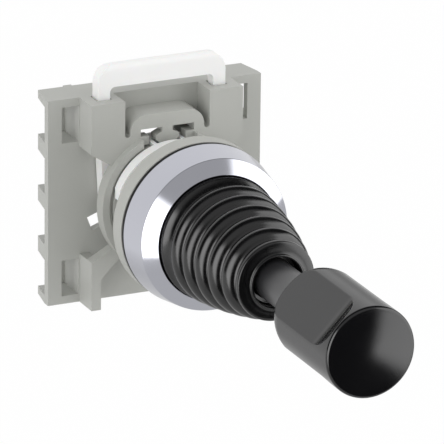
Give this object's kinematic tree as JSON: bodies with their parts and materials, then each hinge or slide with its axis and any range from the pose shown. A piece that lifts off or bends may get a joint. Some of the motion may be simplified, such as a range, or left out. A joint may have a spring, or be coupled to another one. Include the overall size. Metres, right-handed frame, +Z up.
{
  "type": "industrial joystick",
  "caption": "Panel-mounted industrial joystick with a chrome bezel, ribbed rubber boot, black grip lever, grey clip-on holder and white locking bail.",
  "frame": {"origin": "centre of the panel seat: the back face of the sealing flange, on the lever's axis", "axes": "-Y along the lever towards the user, +Y into the panel, +Z up, X across"},
  "size_m": [0.0416, 0.0969, 0.045],
  "materials": {
    "chrome_plate": "polished",
    "grey_plastic": "fine moulded texture",
    "white_plastic": "smooth moulded",
    "boot_rubber": "satin",
    "seal_rubber": "matte",
    "knob_plastic": "smooth moulded",
    "black_rod": "satin black",
    "inner_plastic": "plain moulded",
    "bright_steel": "plain",
    "cast_alloy": "die cast",
    "brass": "knurled"
  },
  "bodies": {
    "base": {"bezel": "chrome_plate", "bezel_gasket": "seal_rubber", "operator_housing": "grey_plastic", "boot": "boot_rubber", "boot_clamp_ring": "inner_plastic", "gate_plate": "bright_steel", "bearing_pins": "bright_steel", "pusher_guide": "grey_plastic", "snap_ring": "bright_steel", "mounting_holder": "grey_plastic"},
    "gimbal": {"gimbal_ring": "cast_alloy", "cross_pin": "bright_steel"},
    "lever": {"lever_shaft": "black_rod", "knob": "knob_plastic", "knob_insert": "brass", "rocker_plate": "bright_steel", "rocker_screw": "bright_steel"},
    "bail": {"locking_bail": "white_plastic"},
    "pusher_up": {"pusher_up": "inner_plastic", "spring_up": "bright_steel"},
    "pusher_down": {"pusher_down": "inner_plastic", "spring_down": "bright_steel"},
    "pusher_left": {"pusher_left": "inner_plastic", "spring_left": "bright_steel"},
    "pusher_right": {"pusher_right": "inner_plastic", "spring_right": "bright_steel"}
  },
  "joints": [
    {"name": "tilt_up_down", "type": "hinge", "parent": "base", "child": "gimbal", "pos_m": [0, -0.002, 0], "axis": [1, 0, 0], "range_deg": [-14, 14], "stiffness_Nm_per_rad": 1.2, "deforming": ["boot"]},
    {"name": "tilt_left_right", "type": "hinge", "parent": "gimbal", "child": "lever", "pos_m": [0, -0.002, 0], "axis": [0, 0, 1], "range_deg": [-14, 14], "stiffness_Nm_per_rad": 1.2, "deforming": ["boot"]},
    {"name": "push_up", "type": "slide", "parent": "base", "child": "pusher_up", "axis": [0, 1, 0], "range_m": [-0.00128, 0.00128], "deforming": ["spring_up"]},
    {"name": "push_down", "type": "slide", "parent": "base", "child": "pusher_down", "axis": [0, 1, 0], "range_m": [-0.00128, 0.00128], "deforming": ["spring_down"]},
    {"name": "push_left", "type": "slide", "parent": "base", "child": "pusher_left", "axis": [0, 1, 0], "range_m": [-0.00128, 0.00128], "deforming": ["spring_left"]},
    {"name": "push_right", "type": "slide", "parent": "base", "child": "pusher_right", "axis": [0, 1, 0], "range_m": [-0.00128, 0.00128], "deforming": ["spring_right"]},
    {"name": "bail_lift", "type": "slide", "parent": "base", "child": "bail", "axis": [0, 0, 1], "range_m": [0, 0.0022]}
  ],
  "couplings": [
    {"joint": "push_up", "follows": "tilt_up_down", "m_per_rad": -0.0052},
    {"joint": "push_down", "follows": "tilt_up_down", "m_per_rad": 0.0052},
    {"joint": "push_left", "follows": "tilt_left_right", "m_per_rad": -0.0052},
    {"joint": "push_right", "follows": "tilt_left_right", "m_per_rad": 0.0052}
  ]
}
